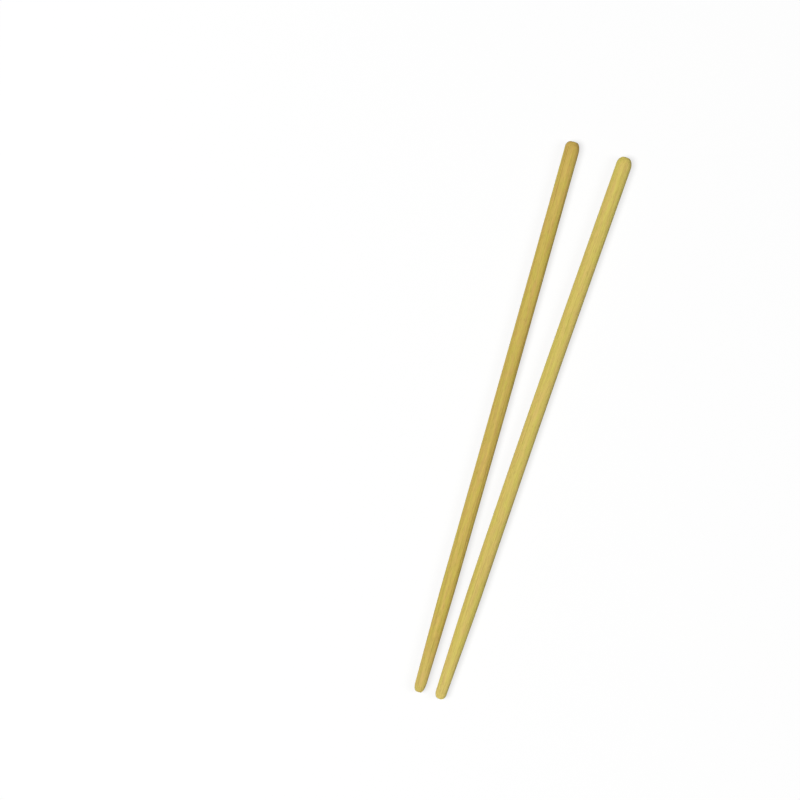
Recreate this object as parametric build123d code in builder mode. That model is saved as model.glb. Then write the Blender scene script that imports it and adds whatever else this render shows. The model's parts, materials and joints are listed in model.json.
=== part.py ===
from build123d import *
import math
import os

# A pair of loose round bamboo chopsticks, lying side by side on a table.
# Each stick is one solid: a straight handle, a slightly bowed shank and a tapered eating end.
# +Y runs along the pair towards the butt ends, +X to the right and +Z up.
# The origin is on the table, in the middle of the pair.

# Driving dimensions, in millimetres and degrees
stick_length = 200.0  # along the stick, from butt face to tip face
left_diameter = 5.2
right_diameter = 5.45
handle_length = 52.0  # straight stretch that starts at the butt face
taper_length = 36.5  # stretch that narrows evenly to the tip
tip_diameter = 3.9  # across the tip, before its rim is rounded
left_butt_flat = 1.0  # across the flat left in the middle of the rounded butt
right_butt_flat = 0.6
tip_flat = 0.5  # across the flat left in the middle of the rounded tip
left_bend = 0.3  # how far the handle and the taper are out of line, bowing towards the other stick
right_bend = 0.9
butt_gap = 13.8  # clear space between the two sticks at the butt ends
tip_gap = 3.7  # clear space between the two sticks at the tips

LEFT = -1
RIGHT = 1


def make_chopstick(side, diameter, neighbour_diameter, butt_flat, bend):
    """One stick, lying on the table on the given side of the pair's middle line."""
    radius = diameter / 2
    tip_radius = tip_diameter / 2

    # The pair's outer width is centred on the origin, at the butts and at the tips
    butt_x = side * (butt_gap + neighbour_diameter) / 2
    tip_x = side * (tip_gap + tip_diameter) / 2
    splay = math.asin((butt_x - tip_x) / stick_length)
    butt_centre = (butt_x, stick_length * math.cos(splay) / 2, radius)
    towards_tip = (-math.sin(splay), -math.cos(splay), 0)
    lying = Plane(origin=butt_centre, x_dir=towards_tip, z_dir=(0, 0, 1))

    # The handle sets off at an angle, so that the bend brings the tip back to its place
    bowed_length = stick_length - handle_length - taper_length
    bend_radius = bowed_length / math.radians(bend)
    bend_to_tip = taper_length + bowed_length / 2
    handle_angle = -side * bend * bend_to_tip / stick_length

    with BuildPart() as stick:
        with BuildLine(lying) as centreline:
            handle = PolarLine((0, 0), handle_length, handle_angle)
            JernArc(handle @ 1, handle % 1, bend_radius, side * bend)
        with BuildSketch(centreline.line ^ 0):
            Circle(radius)
        sweep()
        with Locations(centreline.line ^ 1):
            Cone(radius, tip_radius, taper_length, align=(Align.CENTER, Align.CENTER, Align.MIN))
        rims = stick.edges().filter_by(GeomType.CIRCLE).sort_by(Axis.Y)
        fillet(rims[-1], (diameter - butt_flat) / 2)
        fillet(rims[0], (tip_diameter - tip_flat) / 2)
    return stick


left_chopstick = make_chopstick(LEFT, left_diameter, right_diameter, left_butt_flat, left_bend)
left_chopstick.part.label = "left_chopstick"

right_chopstick = make_chopstick(RIGHT, right_diameter, left_diameter, right_butt_flat, right_bend)
right_chopstick.part.label = "right_chopstick"

os.makedirs("parts", exist_ok=True)
export_step(left_chopstick.part, "parts/left_chopstick.step")
export_step(right_chopstick.part, "parts/right_chopstick.step")
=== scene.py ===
import json
import math
from dataclasses import dataclass
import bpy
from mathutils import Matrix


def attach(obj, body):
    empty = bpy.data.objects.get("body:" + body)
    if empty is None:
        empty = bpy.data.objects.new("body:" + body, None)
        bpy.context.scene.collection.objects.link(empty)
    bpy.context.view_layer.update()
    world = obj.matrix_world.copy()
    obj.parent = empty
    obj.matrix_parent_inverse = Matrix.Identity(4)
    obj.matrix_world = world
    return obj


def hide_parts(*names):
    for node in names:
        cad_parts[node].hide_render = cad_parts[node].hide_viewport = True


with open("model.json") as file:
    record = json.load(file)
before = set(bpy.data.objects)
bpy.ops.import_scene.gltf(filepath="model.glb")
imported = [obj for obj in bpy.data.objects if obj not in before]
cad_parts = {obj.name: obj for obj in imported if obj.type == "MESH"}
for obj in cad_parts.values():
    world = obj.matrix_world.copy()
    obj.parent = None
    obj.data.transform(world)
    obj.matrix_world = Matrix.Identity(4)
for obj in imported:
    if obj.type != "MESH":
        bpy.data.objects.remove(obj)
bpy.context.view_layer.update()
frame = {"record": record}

from types import SimpleNamespace

import bpy
import numpy as np
from mathutils import Matrix, Vector

# A pair of round bamboo chopsticks on a pale floor, seen from straight above.
# Each stick is one closed mesh of rings from its butt to its tip. Its places along the stick are distances s
# from the butt, and its angles run round from the stick's left side over its top.

MM = 0.001
UP = np.array([0.0, 0.0, 1.0])

# The sticks' own sizes, as in the solids
STICK_LENGTH = 200 * MM
HANDLE_LENGTH = 52 * MM
TAPER_LENGTH = 36.5 * MM
TIP_DIAMETER = 3.9 * MM
BOWED_LENGTH = STICK_LENGTH - HANDLE_LENGTH - TAPER_LENGTH

# How the skin is divided into faces
COLUMNS = 240
SHANK_RINGS = 290
ROUND_RINGS = 36
FLAT_RINGS = 6
ANGLES = np.linspace(0, 2 * math.pi, COLUMNS, endpoint=False)

# Fine shape of a turned and sanded stick
SHOULDER_SOFTNESS = 5 * MM
THICKNESS_DRIFT = 0.02 * MM
DRIFT_WAVES = (1.3, 2.7, 4.9)  # to the stick's length
SWELL_LENGTH = 40 * MM
EVEN_OUT = 12 * MM  # past an unevenly sanded end, until the rings are square again
FIBRE_RELIEF = 0.008 * MM
PORE_DEPTH = 0.012 * MM

# Fibre bundles in the cross-section of the stick, and how they wander along it
BUNDLE_SPACING = 0.62 * MM
BUNDLE_SCATTER = 0.26  # of the spacing, either way
BUNDLE_RADIUS = (0.13 * MM, 0.27 * MM)  # nearest the culm's outer wall, and furthest from it
BUNDLE_SIZES = (0.8, 1.2)
BUNDLE_DARKNESS = (0.45, 1.0)
FIBRE_FULLNESS = 1.35  # above 1, so that the middle of a bundle is evenly dark
PORE_SHARE = 0.42  # of the bundle's radius
GRAIN_SLOPE = math.radians(0.5)
GRAIN_WAVE = 0.10 * MM
GRAIN_WAVES = (3, 2, 7)  # to the stick's length: sideways, up, and a smaller one up

# Streaks in the bamboo: waves to the millimetre across and along the grain, and layers of detail
FINE_LINES = (14.0, 0.22, 2.0)
THREADS = (6.0, 0.06, 1.0)
DASHES = (4.5, 0.5, 1.0)
BANDS = (1.3, 0.012, 2.0)
PATCHES = (0.25, 0.03, 2.0)
FLECKS = (0.85, 0.22, 1.0)

# The levels of that noise between which a streak goes from nothing to full
THREAD_EDGE = (0.61, 0.66)
DASH_EDGE = (0.58, 0.68)
WARMTH_EDGE = (0.38, 0.62)
SHADE_EDGE = (0.3, 0.7)

# How strongly the streaks colour, shade and dent the skin
FIBRE_STRENGTH = 0.6
PORE_STRENGTH = 0.3
THREAD_STRENGTH = 0.45
THREAD_OFF_FIBRE = 0.25  # share of a thread that shows outside the fibre bundles
DASH_STRENGTH = 0.22
FLECK_SHARE = 0.6
LINE_SHADE = 0.09
THREAD_DENT = 0.6
PORE_DENT = 0.4
BUMP_DEPTH = 0.02 * MM
BUMP_STRENGTH = 0.4
DRY_ROUGHNESS = 0.74
SMOOTH_ROUGHNESS = 0.60
DIFFUSE_ROUGHNESS = 0.5
GLOSS = 0.2

# How far the paler tip and the browned butt reach along the stick, in millimetres
PALE_END = 20.0
BROWNED_END = 7.0

# Where the picture shows the pair: pixels from its top left corner, and the turn of the pair's length
PICTURE_SIDE = 800
STICK_PIXELS = 573.2
ORIGIN_PIXEL = Vector((514.65, 422.43))
PICTURE_TURN = math.radians(17.46)
METRES_PER_PIXEL = STICK_LENGTH / STICK_PIXELS
LENS = 135.0  # in millimetres, like the sensor
SENSOR_WIDTH = 36.0

# The set, in metres and watts: a pale floor, a broad lamp from the picture's left, a weaker one from the
# right, and an even sky.
# Each lamp leans off the vertical by two angles in degrees, across and up the picture.
FLOOR_SIDE = 6.0
FLOOR_GREY = 0.26
FLOOR_LIFT = 0.73  # brings the grey floor up to white where it is seen
SKY_STRENGTH = 0.05
LAMP_DISTANCE = 2.0
LAMP_WIDTH = 1.0
LAMPS = [
    SimpleNamespace(name="key_lamp", sideways=-25, upwards=-4, power=37.0),
    SimpleNamespace(name="fill_lamp", sideways=42, upwards=-4, power=10.0),
]


def linear(red, green, blue):
    """A linear colour from the three levels, 0 to 255, that a screen shows, by the sRGB curve."""
    levels = [level / 255 for level in (red, green, blue)]
    return [x / 12.92 if x <= 0.04045 else ((x + 0.055) / 1.055) ** 2.4 for x in levels]


PALE = linear(235, 222, 158)
BROWNED = linear(190, 145, 78)


@dataclass
class End:
    """One rounded end: what sanding took off its length, its flat middle and the reach of its rounding."""

    trim: float
    flat: float
    left_reach: float
    right_reach: float

    def reach(self):
        return (self.left_reach + self.right_reach) / 2

    def start(self):
        return self.trim + self.reach()


@dataclass
class Stick:
    """One stick: its names in the frame, its own shape, its cut from the culm and its colours."""

    piece: str
    node: str
    mount: str
    slot: str
    bend: float  # how far the taper turns off the handle, to the right
    mount_inset: float  # the solid's rounded butt, which lies past the mount
    butt_end: End
    tip_end: End
    butt_swell: float
    seed: int
    culm_place: float  # where it was cut, well away from the other stick
    outer_side: float  # the angle that faces the culm's outer wall
    figure: float  # how strongly the fibres and threads show
    band_shade: float
    tip_paleness: float
    butt_browning: float
    ground: list
    warm: list
    fibre: list
    pore: list

    def __post_init__(self):
        """Takes the stick's thickness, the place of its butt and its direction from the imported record."""
        mount = next(m for m in frame["record"]["mounts"] if m["name"] == self.mount)
        outwards = Vector(mount["axis"]).normalized()
        half_length = mount["dims"]["length_mm"] * MM / 2
        self.radius = mount["dims"]["r_mm"] * MM
        self.butt = Vector(mount["pos_m"]) + outwards * (half_length + self.mount_inset)
        self.along = -outwards


STICKS = [
    Stick(
        piece="left_bamboo_stick",
        node="left_chopstick",
        mount="left_handle",
        slot="left_bamboo",
        bend=-math.radians(0.3),
        mount_inset=2.1 * MM,
        butt_end=End(trim=0.45 * MM, flat=2.0 * MM, left_reach=2.1 * MM, right_reach=3.5 * MM),
        tip_end=End(trim=0.17 * MM, flat=1.4 * MM, left_reach=3.0 * MM, right_reach=4.4 * MM),
        butt_swell=0.06 * MM,
        seed=11,
        culm_place=0 * MM,
        outer_side=math.radians(60),
        figure=1.0,
        band_shade=0.07,
        tip_paleness=0.17,
        butt_browning=0.36,
        ground=linear(202, 184, 86),
        warm=linear(206, 177, 94),
        fibre=linear(180, 151, 66),
        pore=linear(137, 104, 44),
    ),
    Stick(
        piece="right_bamboo_stick",
        node="right_chopstick",
        mount="right_handle",
        slot="right_bamboo",
        bend=math.radians(0.9),
        mount_inset=2.425 * MM,
        butt_end=End(trim=0.12 * MM, flat=1.3 * MM, left_reach=2.8 * MM, right_reach=3.4 * MM),
        tip_end=End(trim=0.08 * MM, flat=1.0 * MM, left_reach=2.6 * MM, right_reach=2.1 * MM),
        butt_swell=0.02 * MM,
        seed=29,
        culm_place=60 * MM,
        outer_side=math.radians(200),
        figure=0.5,
        band_shade=0.02,
        tip_paleness=0.11,
        butt_browning=0.0,
        ground=linear(211, 197, 100),
        warm=linear(215, 191, 108),
        fibre=linear(192, 169, 80),
        pore=linear(148, 118, 52),
    ),
]


def centreline(stick, s):
    """Points on the stick's middle line at s, and its direction there, towards the tip."""
    turned = np.clip((s - HANDLE_LENGTH) / BOWED_LENGTH, 0, 1) * stick.bend
    bend_radius = BOWED_LENGTH / stick.bend
    past_bend = np.maximum(s - HANDLE_LENGTH - BOWED_LENGTH, 0)
    forward = np.minimum(s, HANDLE_LENGTH) + bend_radius * np.sin(turned) + past_bend * np.cos(turned)
    sideways = bend_radius * (1 - np.cos(turned)) + past_bend * np.sin(turned)
    ahead = np.array(stick.along)
    rightwards = np.cross(UP, ahead)
    points = np.array(stick.butt) + np.outer(forward, ahead) + np.outer(sideways, rightwards)
    directions = np.outer(np.cos(turned), ahead) + np.outer(np.sin(turned), rightwards)
    return points, directions


def shank_radius(stick, s):
    """The turned radius at s: even along the shank, then narrowing past a softly rounded shoulder."""
    slope = (stick.radius - TIP_DIAMETER / 2) / TAPER_LENGTH
    past = s - (STICK_LENGTH - TAPER_LENGTH)
    softened = (past + np.sqrt(past**2 + SHOULDER_SOFTNESS**2)) / 2
    end = (TAPER_LENGTH + math.hypot(TAPER_LENGTH, SHOULDER_SOFTNESS)) / 2
    return stick.radius - slope * softened * TAPER_LENGTH / end


def rounded_end(end, radius):
    """Rings of one end, from its middle outwards: depth, radius and how far the skin leans off the flat."""
    quarter = np.linspace(0, math.pi / 2, ROUND_RINGS + 1)[1:]
    rim = radius - end.flat / 2
    flat = np.linspace(0, end.flat / 2, FLAT_RINGS + 1)
    depth = np.concatenate([np.zeros(FLAT_RINGS + 1), end.reach() * (1 - np.cos(quarter))])
    r = np.concatenate([flat, end.flat / 2 + rim * np.sin(quarter)])
    lean = np.arctan2(end.reach() * np.sin(quarter), rim * np.cos(quarter))
    return end.trim + depth, r, np.concatenate([np.zeros(FLAT_RINGS + 1), lean])


def outline(stick):
    """The half section from butt to tip: s, radius, and the outward direction along and off the stick."""
    shank_start = stick.butt_end.start()
    shank_stop = STICK_LENGTH - stick.tip_end.start()
    shank = np.linspace(shank_start, shank_stop, SHANK_RINGS + 2)[1:-1]
    butt_s, butt_r, butt_lean = rounded_end(stick.butt_end, shank_radius(stick, shank_start))
    tip_s, tip_r, tip_lean = rounded_end(stick.tip_end, shank_radius(stick, shank_stop))
    s = np.concatenate([butt_s, shank, STICK_LENGTH - tip_s[::-1]])
    r = np.concatenate([butt_r, shank_radius(stick, shank), tip_r[::-1]])
    lean = np.concatenate([butt_lean, np.full(SHANK_RINGS, math.pi / 2), math.pi - tip_lean[::-1]])
    return s, r, -np.cos(lean), np.sin(lean)


def uneven_ends(stick, s):
    """How much further from the butt a ring lies on its left than in its middle, from uneven sanding."""
    butt, tip = stick.butt_end, stick.tip_end
    butt_places = [butt.trim, butt.start(), butt.start() + EVEN_OUT]
    tip_places = [tip.trim, tip.start(), tip.start() + EVEN_OUT]
    share = [0, 1 / 2, 0]
    at_butt = np.interp(s, butt_places, share) * (butt.left_reach - butt.right_reach)
    at_tip = np.interp(STICK_LENGTH - s, tip_places, share) * (tip.left_reach - tip.right_reach)
    return at_butt - at_tip


def thickness_drift(stick, s, random):
    """Slow uneven thickness along the stick, and the handle's slight swelling towards its butt."""
    total = np.zeros(len(s))
    for waves in DRIFT_WAVES:
        total += np.sin(2 * math.pi * waves * s / STICK_LENGTH + random.uniform(0, 2 * math.pi)) / waves
    return total / np.abs(total).max() * THICKNESS_DRIFT + stick.butt_swell * np.exp(-s / SWELL_LENGTH)


def scatter_bundles(stick, random):
    """Fibre bundles in the cross-section: places, radii and darkness, finer by the culm's outer wall."""
    reach = stick.radius + STICK_LENGTH * math.tan(GRAIN_SLOPE) + BUNDLE_SPACING
    steps = np.arange(-reach, reach, BUNDLE_SPACING)
    rows = steps * math.sqrt(3) / 2
    places = np.array([
        (x + (i % 2) * BUNDLE_SPACING / 2, y) for i, y in enumerate(rows) for x in steps
    ])
    places += random.uniform(-BUNDLE_SCATTER, BUNDLE_SCATTER, places.shape) * BUNDLE_SPACING
    outer = np.array([math.cos(stick.outer_side), math.sin(stick.outer_side)])
    nearness = np.clip(0.5 + places @ outer / (2 * stick.radius), 0, 1)
    smallest, largest = BUNDLE_RADIUS
    radii = largest + (smallest - largest) * nearness
    radii *= random.uniform(*BUNDLE_SIZES, len(radii))
    darkness = random.uniform(*BUNDLE_DARKNESS, len(radii))
    return places, radii, darkness


def grain_drift(s, random):
    """How far the grain has wandered across the stick at s, sideways and up."""
    first, second, third = [
        np.sin(2 * math.pi * waves * s / STICK_LENGTH + phase)
        for waves, phase in zip(GRAIN_WAVES, random.uniform(0, 2 * math.pi, len(GRAIN_WAVES)))
    ]
    sideways = (s - STICK_LENGTH / 2) * math.tan(GRAIN_SLOPE) + GRAIN_WAVE * first
    return sideways, GRAIN_WAVE * second + GRAIN_WAVE / 2 * third


def grain_fields(stick, s, r, random):
    """For each point of the skin: its place in the straightened culm, and how much fibre and pore shows."""
    places, radii, darkness = scatter_bundles(stick, random)
    drift_x, drift_y = grain_drift(s, random)
    x = np.outer(r, np.cos(ANGLES)) + drift_x[:, None]
    y = np.outer(r, np.sin(ANGLES)) + drift_y[:, None]
    fibre = np.zeros(x.shape)
    pore = np.zeros(x.shape)
    for ring in range(len(s)):
        away = np.hypot(x[ring, :, None] - places[:, 0], y[ring, :, None] - places[:, 1]) / radii
        near = away.argmin(axis=1)
        closest = away[np.arange(COLUMNS), near]
        fibre[ring] = np.clip(FIBRE_FULLNESS - closest**2, 0, 1) * darkness[near]
        pore[ring] = np.clip(1 - (closest / PORE_SHARE) ** 2, 0, 1) * darkness[near]
    grain = np.stack([x + stick.culm_place, y, np.broadcast_to(s[:, None], x.shape)], axis=-1)
    return grain, fibre, pore


def in_vertex_order(field):
    """A field of rings and columns in the mesh's order: whole rings, then the butt's and the tip's point."""
    rings = field[1:-1]
    return np.concatenate([rings.reshape(-1, *field.shape[2:]), field[[0, -1], 0]])


def ring_faces(whole_rings):
    """Faces between the rings, then those that close the butt and the tip, as numbers of vertices."""
    column = np.arange(COLUMNS)
    after = (column + 1) % COLUMNS
    here = np.arange(whole_rings - 1)[:, None] * COLUMNS
    there = here + COLUMNS
    sides = np.stack([here + column, there + column, there + after, here + after], axis=-1)
    last = (whole_rings - 1) * COLUMNS
    butt_point = np.full(COLUMNS, whole_rings * COLUMNS)
    tip_point = butt_point + 1
    butt = np.stack([butt_point, column, after], axis=-1)
    tip = np.stack([tip_point, last + after, last + column], axis=-1)
    return sides.reshape(-1, 4).tolist() + butt.tolist() + tip.tolist()


def keep_grain(mesh, grain, fibre, pore):
    """Stores the grain's place in millimetres and the shares of fibre and pore on the mesh."""
    place = in_vertex_order(grain) / MM
    mesh.attributes.new("grain", "FLOAT_VECTOR", "POINT").data.foreach_set("vector", place.ravel())
    for name, share in (("fibre", fibre), ("pore", pore)):
        mesh.attributes.new(name, "FLOAT", "POINT").data.foreach_set("value", in_vertex_order(share))


def keep_map(mesh, whole_rings):
    """A flat map of the skin: once round the stick across it, butt to tip up it, with room for the ends."""
    tip_row = whole_rings + 1

    def corners(columns, rows):
        """Places on the map of one kind of face, whose corners come in the same order as in ring_faces."""
        pairs = [np.broadcast_arrays(c / COLUMNS, row / tip_row) for c, row in zip(columns, rows)]
        return np.stack([np.stack(pair, axis=-1) for pair in pairs], axis=-2).reshape(-1, 2)

    column = np.arange(COLUMNS)
    row = np.arange(1, whole_rings)[:, None]
    sides = corners([column, column, column + 1, column + 1], [row, row + 1, row + 1, row])
    butt = corners([column + 0.5, column, column + 1], [0, 1, 1])
    tip = corners([column + 0.5, column + 1, column], [tip_row, whole_rings, whole_rings])
    layer = mesh.uv_layers.new(name="OFBake")
    layer.uv.foreach_set("vector", np.concatenate([sides, butt, tip]).astype(np.float32).ravel())


def build_stick(stick):
    """The stick as a closed mesh of rings, with its fibres in relief and its grain kept for the material."""
    random = np.random.default_rng(stick.seed)
    s, r, lean_s, lean_r = outline(stick)
    grain, fibre, pore = grain_fields(stick, s, r, random)
    drift = thickness_drift(stick, s, random)[:, None]
    relief = FIBRE_RELIEF * (fibre - 0.5) - PORE_DEPTH * pore + drift

    # A thicker stretch is lifted as well, so that it still rests on the floor
    points, ahead = centreline(stick, s)
    points = points + UP * drift
    leftwards = np.cross(ahead, UP)
    radial = leftwards[:, None] * np.cos(ANGLES)[:, None] + UP * np.sin(ANGLES)[:, None]
    ring_radius = r[:, None] + relief * lean_r[:, None]
    shift = relief * lean_s[:, None] + np.outer(uneven_ends(stick, s), np.cos(ANGLES))
    skin = points[:, None] + radial * ring_radius[..., None] + ahead[:, None] * shift[..., None]

    whole_rings = len(s) - 2
    mesh = bpy.data.meshes.new(stick.piece)
    mesh.from_pydata(in_vertex_order(skin).tolist(), [], ring_faces(whole_rings))
    mesh.shade_smooth()
    keep_grain(mesh, grain, fibre, pore)
    keep_map(mesh, whole_rings)
    mesh.validate()
    piece = bpy.data.objects.new(stick.piece, mesh)
    bpy.context.scene.collection.objects.link(piece)
    return piece


class Nodes:
    """Short ways to add and join the nodes of one material or world."""

    def __init__(self, owner):
        owner.use_nodes = True
        self.tree = owner.node_tree
        self.tree.nodes.clear()

    def add(self, kind, settings=(), **inputs):
        """Adds a node with some settings, and with inputs by name, where _ stands for a space."""
        node = self.tree.nodes.new(kind)
        for name, value in dict(settings).items():
            setattr(node, name, value)
        for name, value in inputs.items():
            self.put(node.inputs[name.replace("_", " ")], value)
        return node

    def put(self, socket, value):
        """Joins another node's output to the socket, or sets the socket to a plain value."""
        if isinstance(value, bpy.types.NodeSocket):
            self.tree.links.new(value, socket)
        else:
            socket.default_value = value

    def pair(self, kind, settings, first, second):
        """The output of a node whose two inputs share one name."""
        node = self.add(kind, settings)
        self.put(node.inputs[0], first)
        self.put(node.inputs[1], second)
        return node.outputs[0]

    def math(self, operation, first, second):
        return self.pair("ShaderNodeMath", {"operation": operation}, first, second)

    def mix(self, factor, first, second, blend="MIX"):
        """Two colours mixed: the Mix node keeps its colours in sockets 6 and 7 and gives the mix in 2."""
        node = self.add("ShaderNodeMix", {"data_type": "RGBA", "blend_type": blend})
        self.put(node.inputs[0], factor)
        for socket, colour in zip(node.inputs[6:8], (first, second)):
            self.put(socket, (*colour, 1) if isinstance(colour, list) else colour)
        return node.outputs[2]

    def spread(self, value, low, high, to_low=0.0, to_high=1.0):
        """The value's way from low to high, laid out from to_low to to_high and held there."""
        limits = {"From_Min": low, "From_Max": high, "To_Min": to_low, "To_Max": to_high}
        return self.add("ShaderNodeMapRange", Value=value, **limits).outputs[0]

    def attribute(self, name, output):
        return self.add("ShaderNodeAttribute", {"attribute_name": name}).outputs[output]

    def streaks(self, grain, across, along, detail):
        """Noise that is fine across the grain and long along it, in waves to the millimetre."""
        place = self.pair("ShaderNodeVectorMath", {"operation": "MULTIPLY"}, grain, (across, across, along))
        return self.add("ShaderNodeTexNoise", Vector=place, Scale=1.0, Detail=detail).outputs[0]


def bamboo_streaks(nodes):
    """The patterns of the bamboo: what the mesh holds, and noise drawn out along the grain."""
    grain = nodes.attribute("grain", "Vector")
    fibre = nodes.attribute("fibre", "Fac")
    thread = nodes.spread(nodes.streaks(grain, *THREADS), *THREAD_EDGE)
    thread_share = nodes.spread(fibre, 0.0, 1.0, THREAD_OFF_FIBRE, 1.0)
    patch = nodes.math("MULTIPLY", nodes.streaks(grain, *PATCHES), 1 - FLECK_SHARE)
    fleck = nodes.math("MULTIPLY", nodes.streaks(grain, *FLECKS), FLECK_SHARE)
    return SimpleNamespace(
        fibre=fibre,
        pore=nodes.attribute("pore", "Fac"),
        thread=nodes.math("MULTIPLY", thread, thread_share),
        dash=nodes.spread(nodes.streaks(grain, *DASHES), *DASH_EDGE),
        fine=nodes.streaks(grain, *FINE_LINES),
        band=nodes.streaks(grain, *BANDS),
        warmth=nodes.spread(nodes.math("ADD", patch, fleck), *WARMTH_EDGE),
        from_butt=nodes.add("ShaderNodeSeparateXYZ", Vector=grain).outputs["Z"],
    )


def bamboo_colour(nodes, stick, streaks):
    """Pale ground, warm patches, browner fibres, dark pores, threads and dashes, fine lines, tinted ends."""
    marks = [
        (streaks.fibre, FIBRE_STRENGTH * stick.figure, stick.fibre),
        (streaks.pore, PORE_STRENGTH, stick.pore),
        (streaks.thread, THREAD_STRENGTH * stick.figure, stick.pore),
        (streaks.dash, DASH_STRENGTH, stick.pore),
    ]
    colour = nodes.mix(streaks.warmth, stick.ground, stick.warm)
    for share, strength, mark in marks:
        colour = nodes.mix(nodes.math("MULTIPLY", share, strength), colour, mark)

    lines = nodes.spread(streaks.fine, *SHADE_EDGE, 1 - LINE_SHADE, 1 + LINE_SHADE)
    bands = nodes.spread(streaks.band, *SHADE_EDGE, 1 - stick.band_shade, 1 + stick.band_shade)
    shade = nodes.math("MULTIPLY", lines, bands)
    grey = nodes.add("ShaderNodeCombineColor", Red=shade, Green=shade, Blue=shade).outputs[0]
    colour = nodes.mix(1.0, colour, grey, "MULTIPLY")

    tip = STICK_LENGTH / MM
    paleness = nodes.spread(streaks.from_butt, tip - PALE_END, tip, 0.0, stick.tip_paleness)
    browning = nodes.spread(streaks.from_butt, 0.0, BROWNED_END, stick.butt_browning, 0.0)
    return nodes.mix(browning, nodes.mix(paleness, colour, PALE), BROWNED)


def bamboo(stick):
    """Bare sanded bamboo: dry, with fine lines in its skin and with threads and pores as shallow dents."""
    material = bpy.data.materials.new(stick.piece)
    nodes = Nodes(material)
    streaks = bamboo_streaks(nodes)
    thread_dent = nodes.math("MULTIPLY", streaks.thread, THREAD_DENT)
    pore_dent = nodes.math("MULTIPLY", streaks.pore, PORE_DENT)
    height = nodes.math("SUBTRACT", streaks.fine, nodes.math("ADD", thread_dent, pore_dent))
    bump = nodes.add("ShaderNodeBump", Strength=BUMP_STRENGTH, Distance=BUMP_DEPTH, Height=height)
    shader = nodes.add(
        "ShaderNodeBsdfPrincipled",
        Base_Color=bamboo_colour(nodes, stick, streaks),
        Roughness=nodes.spread(streaks.fine, *SHADE_EDGE, DRY_ROUGHNESS, SMOOTH_ROUGHNESS),
        Diffuse_Roughness=DIFFUSE_ROUGHNESS,
        Specular_IOR_Level=GLOSS,
        Normal=bump.outputs[0],
    )
    nodes.add("ShaderNodeOutputMaterial", Surface=shader.outputs[0])
    return material


def seen(nodes):
    """1 where the surface is seen, straight, mirrored or through glass, and 0 where it lights the object."""
    path = nodes.add("ShaderNodeLightPath")
    straight = path.outputs["Is Camera Ray"]
    mirrored = path.outputs["Is Glossy Ray"]
    through = path.outputs["Is Transmission Ray"]
    return nodes.math("MAXIMUM", nodes.math("MAXIMUM", straight, mirrored), through)


def add_floor():
    """A grey floor that shows as white and keeps the sticks' shadow."""
    mesh = bpy.data.meshes.new("floor")
    half = FLOOR_SIDE / 2
    corners = [(-half, -half, 0), (half, -half, 0), (half, half, 0), (-half, half, 0)]
    mesh.from_pydata(corners, [], [(0, 1, 2, 3)])
    material = bpy.data.materials.new("floor")
    nodes = Nodes(material)
    matte = nodes.add("ShaderNodeBsdfDiffuse", Color=(FLOOR_GREY, FLOOR_GREY, FLOOR_GREY, 1))
    lift = nodes.add("ShaderNodeEmission", Strength=nodes.math("MULTIPLY", seen(nodes), FLOOR_LIFT))
    both = nodes.pair("ShaderNodeAddShader", {}, matte.outputs[0], lift.outputs[0])
    nodes.add("ShaderNodeOutputMaterial", Surface=both)
    mesh.materials.append(material)
    floor = bpy.data.objects.new("floor", mesh)
    bpy.context.scene.collection.objects.link(floor)


def add_sky():
    """An even, faint sky that shows as white."""
    world = bpy.data.worlds.new("sky")
    bpy.context.scene.world = world
    nodes = Nodes(world)
    strength = nodes.spread(seen(nodes), 0, 1, SKY_STRENGTH, 1.0)
    sky = nodes.add("ShaderNodeBackground", Color=(1, 1, 1, 1), Strength=strength)
    nodes.add("ShaderNodeOutputWorld", Surface=sky.outputs[0])


def picture_to_row(right, up, out):
    """A direction given as right, up and towards the viewer in the picture, in the row frame."""
    return Matrix.Rotation(PICTURE_TURN, 3, "Z") @ Vector((right, up, out))


def add_lamp(lamp):
    """A broad disc lamp that points at the middle of the pair."""
    lean = math.tan(math.radians(lamp.sideways))
    rise = math.tan(math.radians(lamp.upwards))
    towards = picture_to_row(lean, rise, 1.0).normalized()
    light = bpy.data.lights.new(lamp.name, "AREA")
    light.shape = "DISK"
    light.size = LAMP_WIDTH
    light.energy = lamp.power
    holder = bpy.data.objects.new(lamp.name, light)
    holder.location = towards * LAMP_DISTANCE
    holder.rotation_mode = "QUATERNION"
    holder.rotation_quaternion = towards.to_track_quat("Z", "Y")
    bpy.context.scene.collection.objects.link(holder)


def add_camera():
    """Straight down, framed so that the pair shows where the picture shows it."""
    data = bpy.data.cameras.new("camera")
    data.lens = LENS
    data.sensor_width = SENSOR_WIDTH
    field = PICTURE_SIDE * METRES_PER_PIXEL
    height = field * LENS / SENSOR_WIDTH
    middle = (Vector((PICTURE_SIDE / 2, PICTURE_SIDE / 2)) - ORIGIN_PIXEL) * METRES_PER_PIXEL
    axis_height = sum(stick.radius for stick in STICKS) / len(STICKS)
    camera = bpy.data.objects.new("camera", data)
    camera.location = picture_to_row(middle.x, -middle.y, height + axis_height)
    camera.rotation_euler = (0, 0, PICTURE_TURN)
    bpy.context.scene.collection.objects.link(camera)
    bpy.context.scene.camera = camera


bpy.context.scene.view_settings.view_transform = "Standard"
for stick in STICKS:
    piece = build_stick(stick)
    piece.data.materials.append(bamboo(stick))
    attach(piece, "root")
    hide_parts(stick.node)
add_floor()
add_sky()
for lamp in LAMPS:
    add_lamp(lamp)
add_camera()
